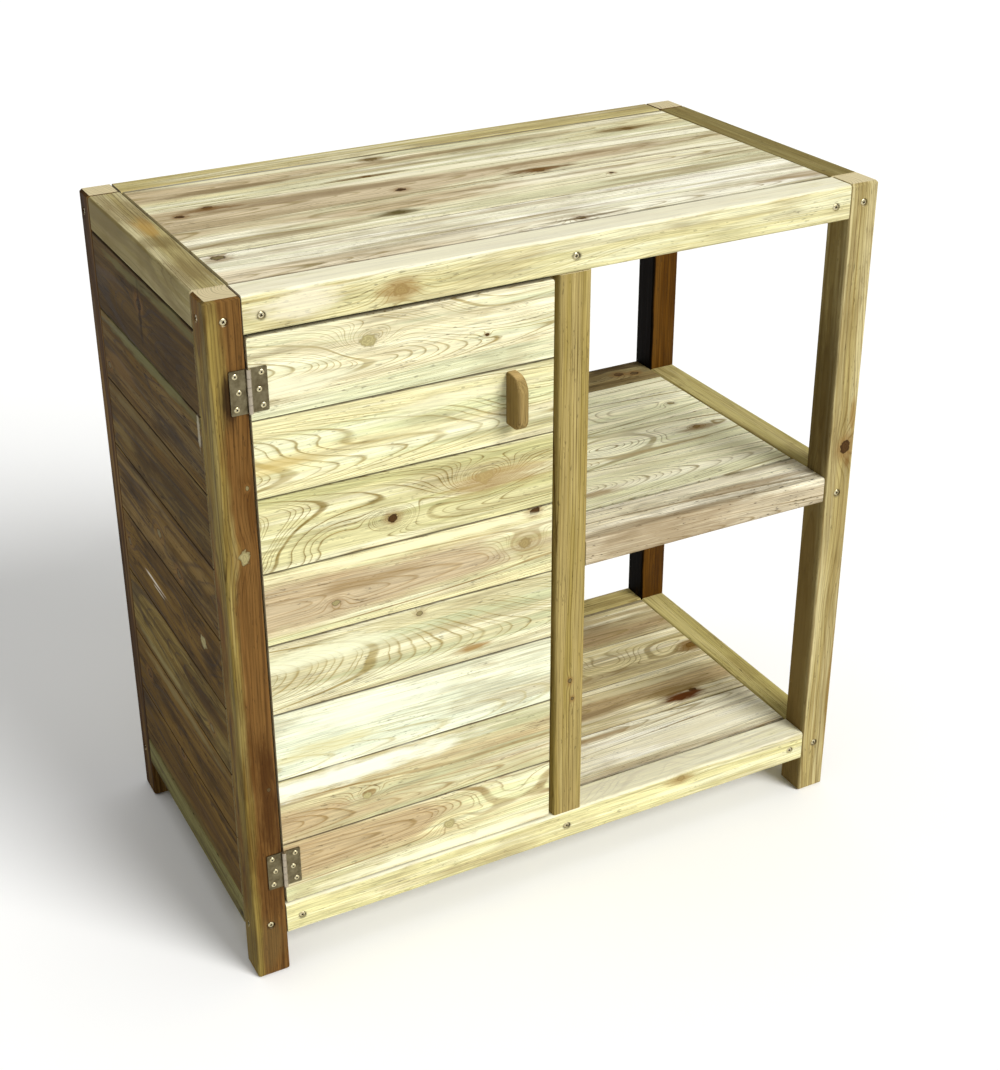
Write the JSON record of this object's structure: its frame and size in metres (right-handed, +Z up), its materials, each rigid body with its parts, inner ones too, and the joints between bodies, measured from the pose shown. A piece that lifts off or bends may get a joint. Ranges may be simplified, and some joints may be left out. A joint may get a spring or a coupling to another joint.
{
  "type": "potting bench",
  "caption": "Wooden garden potting bench: boarded worktop on a post-and-rail frame, a cupboard with a hinged boarded door beside open bays with a middle and a bottom shelf.",
  "frame": {"origin": "on the floor, under the middle of the whole bench's bounding box, with the door handle counted in the depth", "axes": "+X to the right for someone facing the door, -Y out of the door towards that person, +Z up"},
  "size_m": [0.87, 0.495, 0.9],
  "materials": {
    "pale_pine": "planed pressure-treated pine, pale cream and yellow-green",
    "tan_pine": "planed pressure-treated pine, yellow-tan",
    "brown_pine": "pressure-treated pine heartwood, red-brown",
    "grey_pine": "pressure-treated pine, grey-brown and olive",
    "plated_steel": "pressed steel with a dull olive-yellow plating",
    "bright_steel": "drawn steel wire, bright"
  },
  "bodies": {
    "bench": {"back_panel": "tan_pine", "bottom_rail_back": "tan_pine", "bottom_rail_front": "pale_pine", "bottom_rail_left": "tan_pine", "bottom_rail_right": "tan_pine", "divider_panel": "tan_pine", "floor_bearer_left": "tan_pine", "floor_bearer_right": "tan_pine", "floor_board_1": "pale_pine", "floor_board_2": "pale_pine", "floor_board_3": "pale_pine", "floor_board_4": "pale_pine", "hinge_lower_pin": "bright_steel", "hinge_lower_post_leaf": "plated_steel", "hinge_upper_pin": "bright_steel", "hinge_upper_post_leaf": "plated_steel", "left_inner_frame": "tan_pine", "post_back_left": "grey_pine", "post_back_middle": "tan_pine", "post_back_right": "brown_pine", "post_front_left": "brown_pine", "post_front_middle": "tan_pine", "post_front_right": "tan_pine", "shelf_board_1": "pale_pine", "shelf_board_2": "pale_pine", "shelf_board_3": "pale_pine", "shelf_board_4": "pale_pine", "shelf_rail_back": "grey_pine", "shelf_rail_front": "pale_pine", "shelf_rail_right": "tan_pine", "side_board_1": "grey_pine", "side_board_2": "grey_pine", "side_board_3": "grey_pine", "side_board_4": "grey_pine", "side_board_5": "grey_pine", "side_board_6": "grey_pine", "side_board_7": "grey_pine", "side_board_8": "grey_pine", "top_rail_back": "tan_pine", "top_rail_front": "pale_pine", "top_rail_left": "tan_pine", "top_rail_right": "tan_pine", "worktop_bearer_right": "tan_pine", "worktop_board_1": "pale_pine", "worktop_board_2": "pale_pine", "worktop_board_3": "pale_pine", "worktop_board_4": "pale_pine"},
    "door": {"door_board_1": "pale_pine", "door_board_2": "pale_pine", "door_board_3": "pale_pine", "door_board_4": "pale_pine", "door_board_5": "pale_pine", "door_board_6": "pale_pine", "door_board_7": "pale_pine", "door_board_8": "pale_pine", "door_handle": "brown_pine", "door_ledge_lower": "tan_pine", "door_ledge_upper": "tan_pine", "hinge_lower_door_leaf": "plated_steel", "hinge_upper_door_leaf": "plated_steel"}
  },
  "joints": [
    {"name": "door_hinge", "type": "hinge", "parent": "bench", "child": "door", "pos_m": [-0.392, -0.2207, 0.4775], "axis": [0, 0, -1], "range_deg": [0, 175]}
  ]
}
